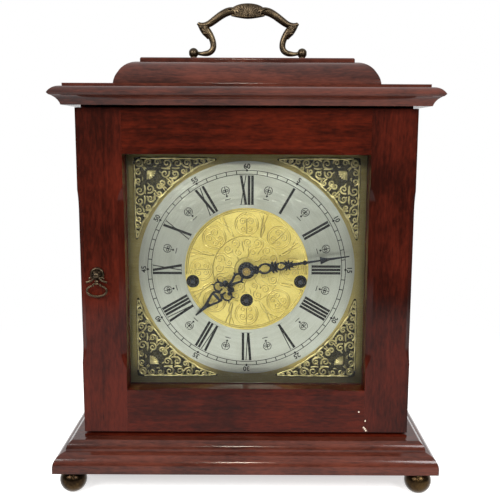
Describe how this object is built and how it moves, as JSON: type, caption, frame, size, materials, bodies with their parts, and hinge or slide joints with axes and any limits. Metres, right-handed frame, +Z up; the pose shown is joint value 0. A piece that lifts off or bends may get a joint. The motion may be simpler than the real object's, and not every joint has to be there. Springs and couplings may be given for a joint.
{
  "type": "bracket clock",
  "caption": "Glazed wooden bracket clock on ball feet, with a folding carrying handle, square brass dial, opening front and back doors and a geared movement.",
  "frame": {"origin": "on the surface the clock stands on, under the middle of its plinth", "axes": "+Z up, +X to the right of the dial, +Y towards the back door"},
  "size_m": [0.3, 0.19, 0.3907],
  "materials": {
    "mahogany": "French polished gloss, fine straight grain",
    "inner_wood": "plain stained, satin",
    "antique_brass": "antiqued, brown with rubbed highlights",
    "hinge_brass": "satin",
    "dial_brass": "brushed and lacquered",
    "silvered_ring": "silvered, brushed in circles",
    "clear_glass": "clear polished",
    "blued_steel": "blued black",
    "movement_brass": "satin, lacquered",
    "bright_steel": "bright drawn"
  },
  "bodies": {
    "case": {"feet": "antique_brass", "plinth_moulding": "mahogany", "base_board": "mahogany", "side_panel_left": "mahogany", "side_panel_right": "mahogany", "cornice_moulding": "mahogany", "top_board": "mahogany", "bell_top": "mahogany", "top_cap": "mahogany", "back_rails": "inner_wood", "back_case_leaves": "hinge_brass", "case_hinge_leaves": "hinge_brass", "door_catch": "hinge_brass", "handle_posts": "antique_brass", "dial_plate": "dial_brass", "chapter_ring": "silvered_ring", "dial_centre": "dial_brass", "spandrels": "dial_brass", "dial_frame": "inner_wood", "seat_board": "inner_wood", "front_plate": "movement_brass", "back_plate": "movement_brass", "plate_pillars": "movement_brass", "platform": "movement_brass", "chime_rods": "bright_steel"},
    "front_door": {"door_stile_left": "mahogany", "door_stile_right": "mahogany", "door_rail_top": "mahogany", "door_rail_bottom": "mahogany", "door_glass": "clear_glass", "glazing_beads": "mahogany", "door_hinge_leaves": "hinge_brass", "pull_post": "antique_brass"},
    "drop_ring": {"pull_ring": "antique_brass"},
    "rear_door": {"back_door": "inner_wood", "back_door_leaves": "hinge_brass"},
    "button": {"turn_button": "hinge_brass"},
    "carrying_handle": {"handle_bail": "antique_brass"},
    "centre_arbor": {"centre_wheel": "movement_brass", "cannon_pinion": "movement_brass", "minute_hand": "blued_steel", "hand_nut": "dial_brass"},
    "hour_work": {"hour_wheel": "movement_brass", "hour_hand": "blued_steel"},
    "motion_wheel": {"minute_wheel": "movement_brass"},
    "intermediate_arbor": {"intermediate_wheel": "movement_brass"},
    "time_barrel_arbor": {"time_barrel": "movement_brass"},
    "third_arbor": {"third_wheel": "movement_brass"},
    "fourth_arbor": {"fourth_wheel": "movement_brass"},
    "escape_arbor": {"escape_wheel": "movement_brass"},
    "lever_arbor": {"pallet_lever": "bright_steel"},
    "balance_staff": {"balance_wheel": "movement_brass"},
    "strike_barrel_arbor": {"strike_barrel": "movement_brass"},
    "strike_second_arbor": {"strike_second_wheel": "movement_brass"},
    "strike_fly_arbor": {"strike_fly": "movement_brass"},
    "chime_barrel_arbor": {"chime_barrel": "movement_brass"},
    "chime_second_arbor": {"chime_second_wheel": "movement_brass"},
    "chime_fly_arbor": {"chime_fly": "movement_brass"},
    "hammer_arbor": {"chime_hammers": "bright_steel"}
  },
  "joints": [
    {"name": "front_door_swing", "type": "hinge", "parent": "case", "child": "front_door", "pos_m": [0.1308, -0.05345, 0.1722], "axis": [0, 0, 1], "range_deg": [0, 110]},
    {"name": "pull_swing", "type": "hinge", "parent": "front_door", "child": "drop_ring", "pos_m": [-0.115, -0.077, 0.1727], "axis": [-1, 0, 0], "range_deg": [0, 90]},
    {"name": "back_door_swing", "type": "hinge", "parent": "case", "child": "rear_door", "pos_m": [0.1143, 0.093, 0.172], "axis": [0, 0, -1], "range_deg": [0, 100]},
    {"name": "turn_button_turn", "type": "hinge", "parent": "case", "child": "button", "pos_m": [-0.07, 0.0913, 0.2819], "axis": [0, 1, 0], "range_deg": [0, 90]},
    {"name": "handle_fold", "type": "hinge", "parent": "case", "child": "carrying_handle", "pos_m": [0, 0.0107, 0.348], "axis": [1, 0, 0], "range_deg": [-90, 90]},
    {"name": "minute_hand_turn", "type": "hinge", "parent": "case", "child": "centre_arbor", "pos_m": [0, 0, 0.171], "axis": [0, 1, 0], "continuous": true},
    {"name": "hour_hand_turn", "type": "hinge", "parent": "case", "child": "hour_work", "pos_m": [0, 0, 0.171], "axis": [0, 1, 0], "continuous": true},
    {"name": "motion_wheel_turn", "type": "hinge", "parent": "case", "child": "motion_wheel", "pos_m": [-0.01039, 0, 0.177], "axis": [0, 1, 0], "continuous": true},
    {"name": "intermediate_turn", "type": "hinge", "parent": "case", "child": "intermediate_arbor", "pos_m": [0.01606, 0, 0.16404], "axis": [0, 1, 0], "continuous": true},
    {"name": "time_barrel_turn", "type": "hinge", "parent": "case", "child": "time_barrel_arbor", "pos_m": [0, 0, 0.1454], "axis": [0, 1, 0], "continuous": true},
    {"name": "third_turn", "type": "hinge", "parent": "case", "child": "third_arbor", "pos_m": [-0.01041, 0, 0.18341], "axis": [0, 1, 0], "continuous": true},
    {"name": "fourth_turn", "type": "hinge", "parent": "case", "child": "fourth_arbor", "pos_m": [-0.00361, 0, 0.19519], "axis": [0, 1, 0], "continuous": true},
    {"name": "escape_turn", "type": "hinge", "parent": "case", "child": "escape_arbor", "pos_m": [0.0073, 0, 0.20149], "axis": [0, 1, 0], "continuous": true},
    {"name": "lever_rock", "type": "hinge", "parent": "case", "child": "lever_arbor", "pos_m": [0.0153, 0, 0.20149], "axis": [0, 1, 0], "range_deg": [-5, 5]},
    {"name": "balance_swing", "type": "hinge", "parent": "case", "child": "balance_staff", "pos_m": [0.0253, 0, 0.20149], "axis": [0, 1, 0], "range_deg": [-150, 150]},
    {"name": "strike_barrel_turn", "type": "hinge", "parent": "case", "child": "strike_barrel_arbor", "pos_m": [0.044, 0, 0.161], "axis": [0, 1, 0], "continuous": true},
    {"name": "strike_second_turn", "type": "hinge", "parent": "case", "child": "strike_second_arbor", "pos_m": [0.044, 0, 0.1856], "axis": [0, 1, 0], "continuous": true},
    {"name": "strike_fly_turn", "type": "hinge", "parent": "case", "child": "strike_fly_arbor", "pos_m": [0.0355, 0, 0.20032], "axis": [0, 1, 0], "continuous": true},
    {"name": "chime_barrel_turn", "type": "hinge", "parent": "case", "child": "chime_barrel_arbor", "pos_m": [-0.044, 0, 0.161], "axis": [0, 1, 0], "continuous": true},
    {"name": "chime_second_turn", "type": "hinge", "parent": "case", "child": "chime_second_arbor", "pos_m": [-0.044, 0, 0.1856], "axis": [0, 1, 0], "continuous": true},
    {"name": "chime_fly_turn", "type": "hinge", "parent": "case", "child": "chime_fly_arbor", "pos_m": [-0.0355, 0, 0.20032], "axis": [0, 1, 0], "continuous": true},
    {"name": "hammer_lift", "type": "hinge", "parent": "case", "child": "hammer_arbor", "pos_m": [0.04, 0, 0.121], "axis": [0, 1, 0], "range_deg": [0, 20]}
  ],
  "couplings": [
    {"joint": "hour_hand_turn", "follows": "minute_hand_turn", "ratio": 0.083333},
    {"joint": "motion_wheel_turn", "follows": "minute_hand_turn", "ratio": -0.33333},
    {"joint": "intermediate_turn", "follows": "minute_hand_turn", "ratio": -0.16667},
    {"joint": "time_barrel_turn", "follows": "minute_hand_turn", "ratio": 0.023148},
    {"joint": "third_turn", "follows": "minute_hand_turn", "ratio": -8},
    {"joint": "fourth_turn", "follows": "minute_hand_turn", "ratio": 60},
    {"joint": "escape_turn", "follows": "minute_hand_turn", "ratio": -480},
    {"joint": "strike_second_turn", "follows": "strike_barrel_turn", "ratio": -7.2},
    {"joint": "strike_fly_turn", "follows": "strike_barrel_turn", "ratio": 54},
    {"joint": "chime_second_turn", "follows": "chime_barrel_turn", "ratio": -7.2},
    {"joint": "chime_fly_turn", "follows": "chime_barrel_turn", "ratio": 54}
  ]
}
